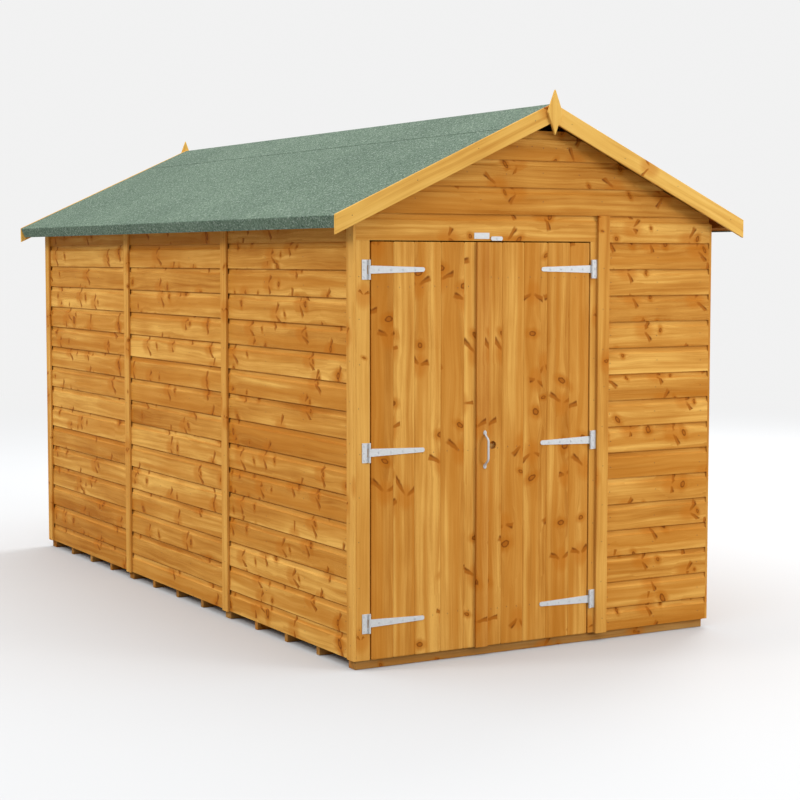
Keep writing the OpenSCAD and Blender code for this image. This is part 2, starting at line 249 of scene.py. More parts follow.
class Paint:  # the nodes of one material, or of the world
    def __init__(self, owner):
        owner.use_nodes = True
        self.owner = owner
        self.tree = owner.node_tree
        self.tree.nodes.clear()

    def node(self, kind, settings=None, sockets=None, out=0):
        made = self.tree.nodes.new("ShaderNode" + kind)
        for key, value in (settings or {}).items():
            if key == "stops":
                ramp = made.color_ramp
                while len(ramp.elements) < len(value):
                    ramp.elements.new(0.5)
                for element, (spot, colour) in zip(ramp.elements, value):
                    element.position = spot
                    element.color = (*colour, 1)
            else:
                setattr(made, key, value)
        for key, value in (sockets or {}).items():
            if isinstance(value, Wire):
                self.tree.links.new(value.socket, made.inputs[key])
            else:
                made.inputs[key].default_value = value
        return Wire(self, made.outputs[out]) if made.outputs else made

    def split(self, vector):
        parts = self.node("SeparateXYZ", {}, {0: vector})
        return parts, parts.also("Y"), parts.also("Z")

    def join(self, x=0.0, y=0.0, z=0.0):
        return self.node("CombineXYZ", {}, {0: x, 1: y, 2: z})

    def noise(self, vector, scale, detail=2.0, rough=0.5):
        return self.node("TexNoise", {}, {"Vector": vector, "Scale": scale, "Detail": detail,
                                          "Roughness": rough})

    def ramp(self, factor, stops):
        return self.node("ValToRGB", {"stops": stops}, {0: factor})

    def mix(self, factor, first, second):
        return self.node("Mix", {"data_type": "RGBA"}, {0: factor, 6: first, 7: second}, out=2)

    def shine(self, colour, rough, normal=None, **constants):
        sockets = {"Base Color": colour, "Roughness": rough}
        if normal:
            sockets["Normal"] = normal
        for key, value in constants.items():
            sockets[key.replace("_", " ")] = value
        shader = self.node("BsdfPrincipled", {}, sockets)
        self.node("OutputMaterial", {}, {0: shader})
        return self.owner

    def bump(self, height, strength, distance):
        return self.node("Bump", {}, {"Height": height, "Strength": strength, "Distance": distance})


claddingLook = {
    "dark": (0.40, 0.135, 0.012), "middle": (0.585, 0.265, 0.045), "light": (0.81, 0.46, 0.108),
    "heart": (0.51, 0.184, 0.018), "rough": 0.54, "relief": 0.35, "ownTone": 0.20, "heartShare": 0.55,
    "knotSpacing": (0.21, 0.11), "knotShare": 0.52, "knotSize": (0.0050, 0.0130),
    "spikeSpacing": (0.25, 0.12), "spikeShare": 0.62, "spikeLong": (0.034, 0.078), "spikeWide": 0.0105,
}
doorLook = dict(claddingLook, middle=(0.565, 0.247, 0.041), light=(0.77, 0.42, 0.095),
                knotSpacing=(0.30, 0.11), knotSize=(0.006, 0.016), spikeSpacing=(0.33, 0.12),
                spikeLong=(0.045, 0.090), spikeWide=0.0125, ownTone=0.24)
stripLook = dict(doorLook, dark=(0.36, 0.11, 0.008), middle=(0.515, 0.203, 0.032), light=(0.67, 0.33, 0.07))
planedLook = dict(claddingLook, dark=(0.46, 0.175, 0.024), middle=(0.64, 0.31, 0.059),
                  light=(0.785, 0.44, 0.105), heartShare=0.30, knotSpacing=(0.30, 0.08), knotShare=0.4,
                  knotSize=(0.003, 0.008), spikeSpacing=(0.50, 0.09), spikeLong=(0.015, 0.032),
                  spikeWide=0.005, ownTone=0.12)
paleLook = dict(planedLook, dark=(0.54, 0.25, 0.042), middle=(0.74, 0.43, 0.094),
                light=(0.84, 0.54, 0.150), heartShare=0.15, knotShare=0.3, spikeShare=0.5,
                spikeLong=(0.025, 0.060), spikeWide=0.008)
sawnLook = dict(claddingLook, dark=(0.22, 0.09, 0.018), middle=(0.38, 0.18, 0.045),
                light=(0.52, 0.29, 0.09), heartShare=0.3, rough=0.78, relief=0.8)
knotPaint = {"halo": (0.49, 0.150, 0.009, 1), "fill": (0.37, 0.104, 0.006, 1),
             "ring": (0.14, 0.030, 0.002, 1)}


def knotCell(p, along, across, own, spacing, turn):
    # offsets from the nearest knot's middle in metres, and three random numbers of its own
    x = along / spacing[0] + own * 71.3 + turn
    y = across / spacing[1] + own * 37.9
    cell = p.node("TexVoronoi", {"voronoi_dimensions": "2D"}, {"Vector": p.join(x, y), "Scale": 1.0,
                                                             "Randomness": 0.85})
    spotX, spotY, _ = p.split(cell.also("Position"))
    return ((x - spotX) * spacing[0], (y - spotY) * spacing[1], *p.split(cell.also("Color")))


def turned(angle, first, second):  # first and second turned by an angle
    cosine = angle.maths("COSINE", angle)
    sine = angle.maths("SINE", angle)
    return first * cosine + second * sine, first * sine - second * cosine


def roundKnots(p, along, across, own, look):
    dx, dy, red, green, blue = knotCell(p, along, across, own, look["knotSpacing"], 0.0)
    there = 1 - (red > look["knotShare"])
    small, large = look["knotSize"]
    size = green * green * (large - small) + small
    shortWay, longWay = turned((blue - 0.5) * 1.6, dx, dy)
    wobble = (p.noise(p.join(along * 90, across * 90, own), 1.0, 2.0) - 0.5) * 0.7
    shortWay = shortWay / size
    longWay = longWay / (size * (blue * 0.9 + 1.1))
    reach = (shortWay * shortWay + longWay * longWay) ** 0.5 + wobble
    fill = reach.fade(1.2, 0.8) * there
    ring = reach.fade(0.45, 0.95) * reach.fade(1.3, 1.0) * there
    halo = reach.fade(3.6, 0.9) * there
    # grain lines run round each knot
    push = dy * size * size * 5 / (dx * dx * 0.12 + dy * dy + size * size * 2) * there
    return fill, ring, halo, push


def spikeKnots(p, along, across, own, look):
    # branches sawn lengthwise: two wings from one middle, each wider and darker at its outer end
    dx, dy, red, green, blue = knotCell(p, along, across, own, look["spikeSpacing"], 0.37)
    there = 1 - (red > look["spikeShare"])
    short, long = look["spikeLong"]
    side = (dy > 0.0) * 2 - 1
    reachOut, offLine = turned(green * 0.75 + 0.55 + side * (blue - 0.5) * 0.5, dx, dy.absolute())
    length = (long - short) * blue + short + side * (green - 0.5) * short
    share = reachOut / length
    bend = (p.noise(p.join(along * 45, across * 45, own), 1.0, 2.0) - 0.5) * 0.010
    wide = (share * 0.75 + 0.3) * look["spikeWide"]
    off = (offLine + bend + reachOut * share * 0.12) / wide
    ends = share.fade(0.04, 0.3) * share.fade(1.08, 0.88) * there
    fill = off.absolute().fade(1.3, 0.55) * ends
    edge = (off - 0.75).absolute().fade(0.65, 0.05) * ends
    halo = (dx * dx * 0.5 + dy * dy).fade(0.0022, 0.0001) * there
    return fill, edge * share.fade(0.2, 0.9), halo


def paintTimber(name, look):
    p = Paint(bpy.data.materials.new(name))
    along, across, own = p.split(p.node("Attribute", {"attribute_name": "grain"}, out="Vector"))
    fill, ring, halo, push = roundKnots(p, along, across, own, look)
    wing, edge, smear = spikeKnots(p, along, across, own, look)
    wander = (p.noise(p.join(along * 1.3, across * 3, own * 40), 1.0, 2.0) - 0.5) * 0.05
    line = across - push + wander
    broad = p.noise(p.join(along * 1.1 + own * 13, line * 42, own * 57), 1.0, 3.0, 0.55)
    fine = p.noise(p.join(along * 7 + own * 31, line * 330, own * 91), 1.0, 3.0, 0.6)
    patch = p.noise(p.join(along * 3.2, across * 9, own * 23), 1.0, 2.0)
    ownTone = p.node("TexWhiteNoise", {"noise_dimensions": "1D"}, {"W": own * 613.7})
    ownSlope = p.node("TexWhiteNoise", {"noise_dimensions": "1D"}, {"W": own * 271.9})
    tone = broad * 0.62 + fine * 0.22 + patch * 0.34 - 0.09
    tone = tone + (ownTone - 0.5) * look["ownTone"] + (ownSlope - 0.5) * across * 2.4 - halo * 0.12
    wood = p.ramp(tone, [(0.28, look["dark"]), (0.5, look["middle"]), (0.72, look["light"])])
    # heartwood: a broad redder band along each board, with a soft uneven edge
    band = p.noise(p.join(along * 0.5 + own * 7, across * 13 + own * 29, own * 77), 1.0, 2.0)
    wood = p.mix(band.fade(0.47, 0.60) * look["heartShare"], wood, (*look["heart"], 1))
    wood = p.mix(halo * 0.5, wood, knotPaint["halo"])
    wood = p.mix(smear * 0.55, wood, knotPaint["halo"])
    wood = p.mix(fill * 0.75, wood, knotPaint["fill"])
    wood = p.mix(wing * 0.85, wood, knotPaint["fill"])
    wood = p.mix(ring * 0.7, wood, knotPaint["ring"])
    wood = p.mix(edge * 0.75, wood, knotPaint["ring"])
    rough = fine * 0.14 + (look["rough"] - 0.07)
    relief = fine * 0.5 + broad * 0.5 - fill * 0.3
    return p.shine(wood, rough, p.bump(relief, look["relief"], 0.0007), Specular_IOR_Level=0.04)


def paintFelt(name, dark, light):
    p = Paint(bpy.data.materials.new(name))
    place = p.node("TexCoord", {}, out="Object")
    grit = p.noise(place, 420.0, 3.0, 0.65)
    clump = p.noise(place, 150.0, 3.0, 0.65)
    weather = p.noise(place, 1.7, 3.0, 0.55)
    tone = grit * 0.6 + clump * 1.5 + weather * 0.25 - 0.675
    green = p.ramp(tone, [(0.28, dark), (0.5, [(a + b) / 2 for a, b in zip(dark, light)]), (0.74, light)])
    fleck = p.node("TexVoronoi", {}, {"Vector": place, "Scale": 180.0}).also("Color")
    green = p.mix((p.split(fleck)[0] > 0.88) * 0.4, green, (0.40, 0.47, 0.40, 1))
    green = p.mix((p.split(fleck)[1] > 0.86) * 0.6, green, (0.02, 0.045, 0.03, 1))
    return p.shine(green, 0.93, p.bump(grit + clump * 0.6, 0.7, 0.0012), Specular_IOR_Level=0.2)


def paintZinc(name, tint, rough):
    p = Paint(bpy.data.materials.new(name))
    place = p.node("TexCoord", {}, out="Object")
    spangle = p.split(p.node("TexVoronoi", {}, {"Vector": place, "Scale": 210.0}).also("Color"))[0]
    cloud = p.noise(place, 38.0, 3.0)
    tone = spangle * 0.35 + cloud * 0.65
    grey = p.ramp(tone, [(0.25, [c * 0.86 for c in tint]), (0.75, tint)])
    return p.shine(grey, tone * 0.16 + (rough - 0.08), p.bump(cloud, 0.12, 0.0004), Metallic=0.25)


def paintIron(name):
    p = Paint(bpy.data.materials.new(name))
    place = p.node("TexCoord", {}, out="Object")
    rust = p.noise(place, 900.0, 2.0)
    tone = p.ramp(rust, [(0.35, (0.035, 0.02, 0.012)), (0.7, (0.10, 0.055, 0.03))])
    return p.shine(tone, rust * 0.2 + 0.45, Metallic=0.3)


finishes = {  # each with the record's slot that it stands for
    "cladding": (paintTimber("cladding timber", claddingLook), "cladding"),
    "door": (paintTimber("door timber", doorLook), "cladding"),
    "strip": (paintTimber("cover strip timber", stripLook), "planed_wood"),
    "planed": (paintTimber("planed timber", planedLook), "planed_wood"),
    "pale": (paintTimber("pale planed timber", paleLook), "planed_wood"),
    "sawn": (paintTimber("sawn timber", sawnLook), "sawn_wood"),
    "felt": (paintFelt("mineral felt", (0.045, 0.078, 0.054), (0.175, 0.245, 0.177)), "roof_felt"),
    "zinc": (paintZinc("galvanised steel", (0.65, 0.66, 0.665), 0.60), "zinc"),
    "nail": (paintIron("nail iron"), "zinc"),
}
print("finishes mixed:", len(finishes))


def hand(piece, body, finish, *nodes):  # gives a finished piece its paint and its place in the frame
    paint, slot = finishes[finish]
    piece.data.materials.clear()
    piece.data.materials.append(paint)
    if slot in ("cladding", "planed_wood", "sawn_wood"):
        markGrain(piece)
    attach(piece, body)
    if nodes:
        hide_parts(*nodes)
    return piece


# shiplap boards on the walls

shiplap = {
    "cover": 0.111,  # height of a board that shows
    "bottomBoard": 0.097, "gableRows": 3,
    "outline": [(0.0010, 0.0), (0.0, 0.0012), (0.0, 0.0845), (0.0006, 0.0850), (0.0029, 0.0868),
                (0.0047, 0.0894), (0.0059, 0.0929), (0.0065, 0.0975), (0.0067, 0.1060), (0.0092, 0.1064),
                (0.0092, 0.1215), (0.012, 0.1215), (0.012, 0.0125), (0.0088, 0.0125), (0.0088, 0.0)],
}
wallLow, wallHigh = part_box("left_front_panel")
firstBoard = wallLow[2] + shiplap["bottomBoard"] - shiplap["cover"]
rows = round((wallHigh[2] - firstBoard) / shiplap["cover"])
facing = {"front": 0, "left": -90, "right": 90, "back": 180}


def boardRows(length, first, count):  # boards one over another, along X and facing front
    made = outlineBar(shiplap["outline"], length)
    made.location.z = firstBoard + first * shiplap["cover"]
    freeze(made)
    if count > 1:
        applyNew(made, "ARRAY", count=count, use_relative_offset=False, use_constant_offset=True,
                 constant_offset_displace=(0, 0, shiplap["cover"]))
    return shadeSharp(made)


def standOn(piece, side, low, high):  # from the front and middle to the place of a CAD panel
    piece.rotation_euler.z = math.radians(facing[side])
    middle = [(a + b) / 2 for a, b in zip(low, high)]
    face = {"front": low[1], "left": low[0], "right": high[0], "back": high[1]}[side]
    piece.location = (middle[0], face, 0) if side in ("front", "back") else (face, middle[1], 0)
    return freeze(piece)


def cladPanel(node, side):
    low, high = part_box(node)
    length = high[0] - low[0] if side in ("front", "back") else high[1] - low[1]
    first = round((low[2] - firstBoard) / shiplap["cover"] - 0.4)
    made = boardRows(length, max(first, 0), rows - max(first, 0))
    sawOff(made, (0, 0, low[2]), (0, 0, -1))
    sawOff(made, (0, 0, high[2]), (0, 0, 1))
    made.name = node + "_boards"
    return hand(standOn(made, side, low, high), "shed", "cladding", node)


for node, side in [("left_front_panel", "left"), ("left_middle_panel", "left"), ("left_back_panel", "left"),
                   ("right_front_panel", "right"), ("right_middle_panel", "right"),
                   ("right_back_panel", "right"), ("back_wide_panel", "back"),
                   ("back_narrow_panel", "back"), ("front_side_panel", "front"),
                   ("door_head_board", "front")]:
    cladPanel(node, side)

roof = {"pitch": 24.7, "board": 0.011, "felt": 0.0025, "gableFlat": 0.230}
pitch = math.radians(roof["pitch"])
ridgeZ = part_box("ridge_felt")[1][2]
roofHalf = -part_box("left_roof_boards")[0][0]
slopeLength = roofHalf / math.cos(pitch)
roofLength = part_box("left_roof_boards")[1][1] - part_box("left_roof_boards")[0][1]


def gableBoards(node, side):
    low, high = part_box(node)
    made = boardRows(high[0] - low[0], rows, shiplap["gableRows"])
    sawOff(made, (0, 0, high[2]), (0, 0, 1))
    for way in (-1, 1):
        sawOff(made, (way * roof["gableFlat"] / 2, 0, high[2]), (way * math.sin(pitch), 0, math.cos(pitch)))
    made.name = node + "_boards"
    return hand(standOn(made, side, low, high), "shed", "cladding", node)


gableBoards("front_gable", "front")
gableBoards("back_gable", "back")
print("walls clad:", rows, "rows of shiplap")


# timber that keeps the CAD's shape, with eased edges

plainTimber = [
    ("left_door_post", "shed", "planed", 0.0015), ("right_door_post", "shed", "planed", 0.0015),
    ("side_trims", "shed", "planed", 0.0018), ("divider_trims", "shed", "planed", 0.0018),
    ("front_left_bargeboard", "shed", "pale", 0.002), ("front_right_bargeboard", "shed", "pale", 0.002),
    ("back_left_bargeboard", "shed", "pale", 0.002), ("back_right_bargeboard", "shed", "pale", 0.002),
    ("front_finial", "shed", "pale", 0.0022), ("back_finial", "shed", "pale", 0.0022),
    ("door_cover_strip", "right_door", "strip", 0.001),
    ("left_door_ledges", "left_door", "sawn", 0.0015), ("right_door_ledges", "right_door", "sawn", 0.0015),
    ("floor_joists", "shed", "sawn", 0.003), ("side_wall_frames", "shed", "sawn", 0.001),
    ("front_wall_frame", "shed", "sawn", 0.001), ("back_wall_frame", "shed", "sawn", 0.001),
    ("roof_purlins", "shed", "sawn", 0.001), ("roof_rafters", "shed", "sawn", 0.001),
]
for node, body, finish, ease in plainTimber:
    hand(workedCopy(node, node + "_timber", ease), body, finish, node)
print("frames, trims and bargeboards worked:", len(plainTimber))


# floor and roof boards

floorBoards = {"count": 16, "ease": 0.0015, "gap": 0.0008}
roofBoards = {"count": 35, "ease": 0.0015, "gap": 0.0008, "over": 0.02}  # past the ridge, then sawn off


def layFloor():
    low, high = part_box("floor_boards")
    step = (high[0] - low[0]) / floorBoards["count"]
    made = barBetween(low, (low[0] + step - floorBoards["gap"], high[1], high[2]))
    easeEdges(made, floorBoards["ease"])
    applyNew(made, "ARRAY", count=floorBoards["count"], use_relative_offset=False, use_constant_offset=True,
             constant_offset_displace=(step, 0, 0))
    made.name = "floor_boards_laid"
    hand(made, "shed", "sawn", "floor_boards")


def layRoof(node, way):
    step = roofLength / roofBoards["count"]
    made = barBetween((-roofBoards["over"], -roofLength / 2, -roof["felt"] - roof["board"]),
                      (slopeLength - 0.001, -roofLength / 2 + step - roofBoards["gap"], -roof["felt"]))
    easeEdges(made, roofBoards["ease"])
    applyNew(made, "ARRAY", count=roofBoards["count"], use_relative_offset=False, use_constant_offset=True,
             constant_offset_displace=(0, step, 0))
    made.rotation_euler.y = pitch
    made.location.z = ridgeZ
    if way < 0:
        freeze(made)
        made.rotation_euler.z = math.pi
    freeze(made)
    sawOff(made, (0, 0, 0), (-way, 0, 0))
    made.name = node + "_laid"
    hand(made, "shed", "sawn", node)


layFloor()
layRoof("left_roof_boards", -1)
layRoof("right_roof_boards", 1)
print("floor and roof boarded")


# roof felt

felt = {"thick": 0.002, "under": 0.0004, "fold": 0.004, "turn": 0.053, "cap": 0.265, "lap": 0.09,
        "capThick": 0.0012, "foldSteps": 6}


def onSlope(way, down, out):  # from distances along and out of one slope to Y and Z of an outline
    return (way * (down * math.cos(pitch) + out * math.sin(pitch)),
            ridgeZ - down * math.sin(pitch) + out * math.cos(pitch))


def feltSheet(node, way):
    end = slopeLength + roof["felt"]
    top, bottom = -felt["under"], -felt["under"] - felt["thick"]
    outer, inner = [], []
    for i in range(felt["foldSteps"] + 1):
        turn = math.radians(90 * i / felt["foldSteps"])
        middle = (end - felt["fold"], top - felt["fold"])
        outer.append((middle[0] + felt["fold"] * math.sin(turn), middle[1] + felt["fold"] * math.cos(turn)))
        near = felt["fold"] - felt["thick"]
        inner.append((middle[0] + near * math.sin(turn), middle[1] + near * math.cos(turn)))
    start = felt["cap"] - felt["lap"]
    outline = [(start, top)] + outer + [(end, -felt["turn"]), (end - felt["thick"], -felt["turn"])]
    outline += inner[::-1] + [(start, bottom)]
    made = outlineBar([onSlope(way, a, b) for a, b in outline], roofLength)
    made.rotation_euler.z = math.pi / 2
    freeze(made)
    if way * sum(v.co.x for v in made.data.vertices) < 0:
        made.rotation_euler.z = math.pi
        freeze(made)
    shadeSharp(made)
    made.name = node + "_sheet"
    return hand(made, "shed", "felt", node)


def feltCap():
    low = 0.0001 - felt["under"]
    high = low + felt["capThick"]
    over = [onSlope(-1, felt["cap"], low), onSlope(-1, felt["cap"], high), onSlope(-1, 0.012, high),
            onSlope(-1, 0.004, high - 0.0003), onSlope(1, 0.004, high - 0.0003), onSlope(1, 0.012, high),
            onSlope(1, felt["cap"], high), onSlope(1, felt["cap"], low), (0, onSlope(1, 0, low)[1])]
    made = outlineBar(over, roofLength)
    made.rotation_euler.z = math.pi / 2
    freeze(made)
    shadeSharp(made)
    made.name = "ridge_felt_cap"
    return hand(made, "shed", "felt", "ridge_felt")


feltSheet("left_roof_felt", -1)
feltSheet("right_roof_felt", 1)
feltCap()
print("roof felted")


# tongued boards on the doors

doorBoards = {
    "gap": 0.0004, "chamfer": 0.0038, "flatten": 0.33,  # a chamfer's depth as a share of its width
    "leftJoints": [0.100, 0.196, 0.318, 0.428],  # from the left edge of each door
    "rightJoints": [0.0295, 0.1005, 0.2065, 0.3225, 0.4355],
    "peepRadius": 0.0165, "peep": (-0.241, 0.864), "tongueIn": 0.006, "tongueThick": 0.003,
}


def drillPeep(board, face):
    x, z = doorBoards["peep"]
    dropSelection()
    bpy.ops.mesh.primitive_cylinder_add(vertices=40, radius=doorBoards["peepRadius"], depth=0.05,
                                        location=(x, face, z), rotation=(math.pi / 2, 0, 0))
    drill = bpy.context.object
    applyNew(board, "BOOLEAN", operation="DIFFERENCE", solver="EXACT", object=drill)
    bpy.data.objects.remove(drill)


def tongueBoards(node, body, joints):
    low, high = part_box(node)
    edges = [low[0]] + [low[0] + j for j in joints] + [high[0]]
    inset = doorBoards["tongueIn"]  # one thin sheet stands in for the tongues behind the joints
    parts = [barBetween((low[0] + inset, low[1] + inset, low[2] + 0.001),
                        (high[0] - inset, low[1] + inset + doorBoards["tongueThick"], high[2] - 0.001))]
    for left, right in zip(edges, edges[1:]):
        thick = (high[1] - low[1]) / doorBoards["flatten"]
        board = barBetween((left + doorBoards["gap"] / 2, 0, low[2]),
                           (right - doorBoards["gap"] / 2, thick, high[2]))
        easeEdges(board, doorBoards["chamfer"], 1)
        board.scale.y = doorBoards["flatten"]
        board.location.y = low[1]
        parts.append(freeze(board))
    if body == "right_door":
        x = doorBoards["peep"][0]
        for part in parts:
            if min(v.co.x for v in part.data.vertices) < x < max(v.co.x for v in part.data.vertices):
                drillPeep(part, low[1])
    hand(joinAll(node + "_tongued", parts), body, "door", node)


tongueBoards("left_door_boards", "left_door", doorBoards["leftJoints"])
tongueBoards("right_door_boards", "right_door", doorBoards["rightJoints"])
print("doors boarded")


# hinges, handle, turn button and plate

ironwork = {
    "ease": 0.0005, "screwHead": 0.0042, "screwHigh": 0.0016, "nailHead": 0.0018,
    "strapScrews": [0.045, 0.100, 0.155, 0.210], "plateScrews": [-0.028, 0.0, 0.028],
    "plateScrewIn": (0.021, 0.017), "midHingeDrop": 0.020, "halfLedge": 0.045, "knuckle": 0.005,
    "thick": 0.0025, "recess": (0.0044, 0.0010),  # length and width of the cross in a screw's head
}
for node, body in [("hinge_plates", "shed"), ("left_hinge_straps", "left_door"),
                   ("right_hinge_straps", "right_door"), ("name_plate", "shed"),
                   ("turn_button", "turn_button")]:
    hand(workedCopy(node, node + "_metal", ironwork["ease"]), body, "zinc", node)


def screwStock():  # one pan-headed screw with a cross recess, facing front at the origin
    dropSelection()
    bpy.ops.mesh.primitive_cylinder_add(vertices=20, radius=ironwork["screwHead"],
                                        depth=ironwork["screwHigh"],
                                        location=(0, -ironwork["screwHigh"] / 2, 0),
                                        rotation=(math.pi / 2, 0, 0))
    head = freeze(bpy.context.object)
    applyNew(head, "BEVEL", width=0.0009, segments=3, limit_method="ANGLE", angle_limit=math.radians(50))
    for wide, high in (ironwork["recess"], ironwork["recess"][::-1]):
        slotBar = barBetween([-wide / 2, -ironwork["screwHigh"] - 0.0004, -high / 2],
                             [wide / 2, -ironwork["screwHigh"] + 0.0006, high / 2])
        applyNew(head, "BOOLEAN", operation="DIFFERENCE", solver="EXACT", object=slotBar)
        bpy.data.objects.remove(slotBar)
    return shadeSharp(head)


def nailStock():  # one round nail head, facing front at the origin
    dropSelection()
    bpy.ops.mesh.primitive_cylinder_add(vertices=10, radius=ironwork["nailHead"], depth=0.0006,
                                        location=(0, -0.0001, 0), rotation=(math.pi / 2, 0, 0))
    head = freeze(bpy.context.object)
    return applyNew(head, "BEVEL", width=0.0002, segments=1, limit_method="ANGLE",
                    angle_limit=math.radians(50))


def setIn(stock, places, name, body, finish):  # one joined piece of copies, each turned to its wall
    copies = []
    for place, side in places:
        copy = twinOf(stock, name)
        copy.location = place
        copy.rotation_euler.z = math.radians(facing[side])
        copies.append(copy)
    return hand(joinAll(name, copies), body, finish)


screw = screwStock()
nail = nailStock()
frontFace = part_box("left_door_boards")[0][1]
hingeHeights = [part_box("left_door_ledges")[0][2] + ironwork["halfLedge"],
                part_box("left_door_ledges")[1][2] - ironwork["halfLedge"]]
hingeHeights.insert(1, sum(hingeHeights) / 2 - ironwork["midHingeDrop"])
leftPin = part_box("left_hinge_straps")[0][0] + ironwork["knuckle"]
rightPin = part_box("right_hinge_straps")[1][0] - ironwork["knuckle"]
metalFace = frontFace - ironwork["thick"]
setIn(screw, [((leftPin + reach, metalFace, z), "front") for z in hingeHeights
              for reach in ironwork["strapScrews"]], "left_strap_screws", "left_door", "zinc")
setIn(screw, [((rightPin - reach, metalFace, z), "front") for z in hingeHeights
              for reach in ironwork["strapScrews"]], "right_strap_screws", "right_door", "zinc")
plateColumns = (leftPin - ironwork["plateScrewIn"][0], rightPin + ironwork["plateScrewIn"][1])
setIn(screw, [((x, metalFace, z + up), "front") for z in hingeHeights
              for x in plateColumns for up in ironwork["plateScrews"]],
      "hinge_plate_screws", "shed", "zinc")
buttonLow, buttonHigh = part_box("turn_button")
buttonMiddle = ((buttonLow[0] + buttonHigh[0]) / 2, buttonLow[1], (buttonLow[2] + buttonHigh[2]) / 2)
setIn(screw, [(buttonMiddle, "front")], "turn_button_screw", "turn_button", "zinc")

handle = {"bar": 0.0045, "foot": 0.067, "flat": 0.034, "footWide": 0.0075, "footAt": 0.068,
          "footStretch": 1.38, "footThick": 0.0025, "screwAt": 0.0735}


def bendHandle():
    low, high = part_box("door_handle")
    x = (low[0] + high[0]) / 2
    z = (low[2] + high[2]) / 2
    back, front = high[1], low[1] + handle["bar"]
    dropSelection()
    bpy.ops.curve.primitive_bezier_curve_add(location=(0, 0, 0))
    grip = bpy.context.object
    spline = grip.data.splines[0]
    spline.bezier_points.add(2)
    knots = [(back - 0.003, handle["foot"]), (front, handle["flat"]), (front, -handle["flat"]),
             (back - 0.003, -handle["foot"])]
    pulls = [(0, -0.012), (0, -0.014), (0, -0.014), (0, -0.012)]
    for point, (y, up), (pullY, pullZ) in zip(spline.bezier_points, knots, pulls):
        point.handle_left_type = point.handle_right_type = "FREE"
        point.co = (x, y, z + up)
        point.handle_left = (x, y - pullY, z + up - pullZ)
        point.handle_right = (x, y + pullY, z + up + pullZ)
    grip.data.dimensions = "3D"
    grip.data.bevel_depth = handle["bar"]
    grip.data.bevel_resolution = 5
    grip.data.resolution_u = 14
    grip.data.use_fill_caps = True
    pick(grip)
    bpy.ops.object.convert(target="MESH")
    parts = [bpy.context.object]
    for way in (-1, 1):
        dropSelection()
        bpy.ops.mesh.primitive_cylinder_add(vertices=32, radius=handle["footWide"], depth=handle["footThick"],
                                            location=(x, back - handle["footThick"] / 2,
                                                      z + way * handle["footAt"]),
                                            rotation=(math.pi / 2, 0, 0))
        foot = bpy.context.object
        foot.scale = (1, handle["footStretch"], 1)
        parts.append(easeEdges(freeze(foot), 0.0008))
    made = joinAll("door_handle_bent", parts)
    bpy.ops.object.shade_smooth_by_angle(angle=math.radians(40))
    hand(made, "right_door", "zinc", "door_handle")
    setIn(screw, [((x, back - handle["footThick"], z + way * handle["screwAt"]), "front")
                  for way in (-1, 1)], "handle_screws", "right_door", "zinc")


bendHandle()
print("ironwork fitted")


# nails

nailing = {
    "rise": 0.052,  # above the foot of each board
    "jitter": 0.006,  # how far a nail may stray
    "edge": 0.045,  # from a panel's edge to its outer nails
    "left_door": (0.007, -0.010, -0.070),  # from each hinge's height to its row of nails
    "right_door": (0.007, -0.010, -0.033),
}


def jog(amount=None):
    return chance.uniform(-1, 1) * (amount or nailing["jitter"])


def wallNails():
    places = []
    for node, side, studs in [("left_front_panel", "left", 4), ("left_middle_panel", "left", 4),
                              ("left_back_panel", "left", 4), ("right_front_panel", "right", 4),
                              ("right_middle_panel", "right", 4), ("right_back_panel", "right", 4),
                              ("back_wide_panel", "back", 4), ("back_narrow_panel", "back", 3),
                              ("front_side_panel", "front", 3)]:
        low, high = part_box(node)
        crosswise = 0 if side in ("front", "back") else 1
        face = {"front": low[1], "back": high[1], "left": low[0], "right": high[0]}[side]
        first, last = low[crosswise] + nailing["edge"], high[crosswise] - nailing["edge"]
        for row in range(rows):
            z = firstBoard + row * shiplap["cover"] + nailing["rise"]
            for i in range(studs):
                spot = first + (last - first) * i / (studs - 1) + jog()
                place = [spot, face] if crosswise == 0 else [face, spot]
                places.append(((*place, z + jog()), side))
    low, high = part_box("front_gable")
    for side, face in (("front", low[1]), ("back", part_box("back_gable")[1][1])):
        for row in range(shiplap["gableRows"]):
            z = high[2] - (2.6 - row) * shiplap["cover"]
            half = (ridgeZ - z) / math.tan(pitch) - 0.25
            for i in range(5):
                places.append(((half * (i / 2 - 1) + jog(), face, z + jog()), side))
    setIn(nail, places, "wall_nails", "shed", "nail")


def trimNails():
    places = []
    for node, count in (("side_trims", 11), ("divider_trims", 11)):
        low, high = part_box(node)
        if node == "side_trims":
            starts = [low[1] + 0.029, high[1] - 0.029, (low[1] + 0.029) / 3 + 0.003, (high[1] - 0.029) / 3]
            spots = [(low[0], y, "left") for y in starts] + [(high[0], y, "right") for y in starts]
        else:
            x = (low[0] + high[0]) / 2
            spots = [(x, low[1], "front"), (x, high[1], "back")]
        for x, y, side in spots:
            for i in range(count):
                z = low[2] + 0.06 + (high[2] - low[2] - 0.12) * i / (count - 1) + jog()
                place = (x, y + jog(), z) if side in ("left", "right") else (x + jog(), y, z)
                places.append((place, side))
    for node in ("left_door_post", "right_door_post"):
        low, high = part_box(node)
        for i in range(9):
            x = low[0] + 0.014 if node == "left_door_post" else low[0] + 0.02
            places.append(((x + jog(0.003), low[1], low[2] + 0.12 + 0.175 * i + jog()), "front"))
    for end, side in ((-1, "front"), (1, "back")):
        low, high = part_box(side + "_left_bargeboard")
        face = low[1] if end < 0 else high[1]
        for way in (-1, 1):
            for reach in (0.09, 0.36, 0.64, 0.93):
                z = ridgeZ - 0.037 - reach * math.tan(pitch)
                places.append(((way * reach, face, z + jog(0.012)), side))
    setIn(nail, places, "trim_nails", "shed", "nail")


